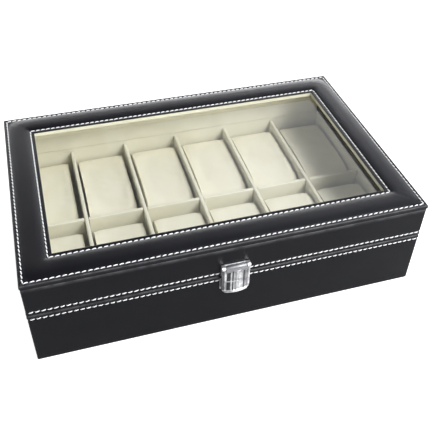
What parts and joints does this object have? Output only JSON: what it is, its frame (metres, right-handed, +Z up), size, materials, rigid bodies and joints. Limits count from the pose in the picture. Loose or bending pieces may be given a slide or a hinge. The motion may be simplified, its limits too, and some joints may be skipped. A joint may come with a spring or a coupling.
{
  "type": "watch box",
  "caption": "Leather-covered watch box with a hinged glazed lid, flap latch, suede-lined tray, dividers and lift-out pillows.",
  "frame": {"origin": "centre of the felt pad on the underside, on the surface the box stands on", "axes": "+X to the right seen from the latch side, +Y from the latch to the hinges, +Z up"},
  "size_m": [0.3, 0.2039, 0.0813],
  "materials": {
    "leather": "smooth satin artificial leather with a fine grain",
    "board": "raw fibreboard, covered",
    "lining_suede": "matt short-pile suede cloth on card",
    "pillow_suede": "matt short-pile suede cloth over foam",
    "felt": "thin pressed felt",
    "glass": "clear polished",
    "chrome": "bright nickel-chrome plate"
  },
  "bodies": {
    "base": {"base_bottom_board": "board", "base_front_wall": "board", "base_back_wall": "board", "base_left_wall": "board", "base_right_wall": "board", "base_leather_wrap": "leather", "base_felt_pad": "felt", "back_lining_strip": "lining_suede", "tray_floor": "lining_suede", "tray_front_wall": "lining_suede", "tray_back_wall": "lining_suede", "tray_left_wall": "lining_suede", "tray_right_wall": "lining_suede", "long_divider": "lining_suede", "cross_divider_1": "lining_suede", "cross_divider_2": "lining_suede", "cross_divider_3": "lining_suede", "cross_divider_4": "lining_suede", "cross_divider_5": "lining_suede", "catch_plate": "chrome", "hinge_base_leaf_left": "chrome", "hinge_base_leaf_right": "chrome", "hinge_pin_left": "chrome", "hinge_pin_right": "chrome", "base_hinge_screw_1": "chrome", "base_hinge_screw_2": "chrome", "base_hinge_screw_3": "chrome", "base_hinge_screw_4": "chrome"},
    "lid": {"lid_front_wall": "board", "lid_back_wall": "board", "lid_left_wall": "board", "lid_right_wall": "board", "lid_leather_wrap": "leather", "lid_lining": "lining_suede", "lid_top_frame": "board", "lid_top_leather": "leather", "window_reveal_lining": "lining_suede", "glass_pane": "glass", "glass_retaining_frame": "lining_suede", "latch_plate": "chrome", "hinge_lid_leaf_left": "chrome", "hinge_lid_leaf_right": "chrome", "lid_hinge_screw_1": "chrome", "lid_hinge_screw_2": "chrome", "lid_hinge_screw_3": "chrome", "lid_hinge_screw_4": "chrome"},
    "latch": {"latch_flap": "chrome", "latch_pin": "chrome"},
    "pillow_01": {"pillow_01": "pillow_suede"},
    "pillow_02": {"pillow_02": "pillow_suede"},
    "pillow_03": {"pillow_03": "pillow_suede"},
    "pillow_04": {"pillow_04": "pillow_suede"},
    "pillow_05": {"pillow_05": "pillow_suede"},
    "pillow_06": {"pillow_06": "pillow_suede"},
    "pillow_07": {"pillow_07": "pillow_suede"},
    "pillow_08": {"pillow_08": "pillow_suede"},
    "pillow_09": {"pillow_09": "pillow_suede"},
    "pillow_10": {"pillow_10": "pillow_suede"},
    "pillow_11": {"pillow_11": "pillow_suede"},
    "pillow_12": {"pillow_12": "pillow_suede"}
  },
  "joints": [
    {"name": "lid_hinge", "type": "hinge", "parent": "base", "child": "lid", "pos_m": [0, 0.0991, 0.0493], "axis": [-1, 0, 0], "range_deg": [0, 100]},
    {"name": "latch_hinge", "type": "hinge", "parent": "lid", "child": "latch", "pos_m": [-0.0019, -0.0999, 0.0594], "axis": [-1, 0, 0], "range_deg": [0, 110]},
    {"name": "pillow_lift_01", "type": "slide", "parent": "base", "child": "pillow_01", "axis": [0, 0, 1], "range_m": [0, 0.035]},
    {"name": "pillow_lift_02", "type": "slide", "parent": "base", "child": "pillow_02", "axis": [0, 0, 1], "range_m": [0, 0.035]},
    {"name": "pillow_lift_03", "type": "slide", "parent": "base", "child": "pillow_03", "axis": [0, 0, 1], "range_m": [0, 0.035]},
    {"name": "pillow_lift_04", "type": "slide", "parent": "base", "child": "pillow_04", "axis": [0, 0, 1], "range_m": [0, 0.035]},
    {"name": "pillow_lift_05", "type": "slide", "parent": "base", "child": "pillow_05", "axis": [0, 0, 1], "range_m": [0, 0.035]},
    {"name": "pillow_lift_06", "type": "slide", "parent": "base", "child": "pillow_06", "axis": [0, 0, 1], "range_m": [0, 0.035]},
    {"name": "pillow_lift_07", "type": "slide", "parent": "base", "child": "pillow_07", "axis": [0, 0, 1], "range_m": [0, 0.035]},
    {"name": "pillow_lift_08", "type": "slide", "parent": "base", "child": "pillow_08", "axis": [0, 0, 1], "range_m": [0, 0.035]},
    {"name": "pillow_lift_09", "type": "slide", "parent": "base", "child": "pillow_09", "axis": [0, 0, 1], "range_m": [0, 0.035]},
    {"name": "pillow_lift_10", "type": "slide", "parent": "base", "child": "pillow_10", "axis": [0, 0, 1], "range_m": [0, 0.035]},
    {"name": "pillow_lift_11", "type": "slide", "parent": "base", "child": "pillow_11", "axis": [0, 0, 1], "range_m": [0, 0.035]},
    {"name": "pillow_lift_12", "type": "slide", "parent": "base", "child": "pillow_12", "axis": [0, 0, 1], "range_m": [0, 0.035]}
  ]
}
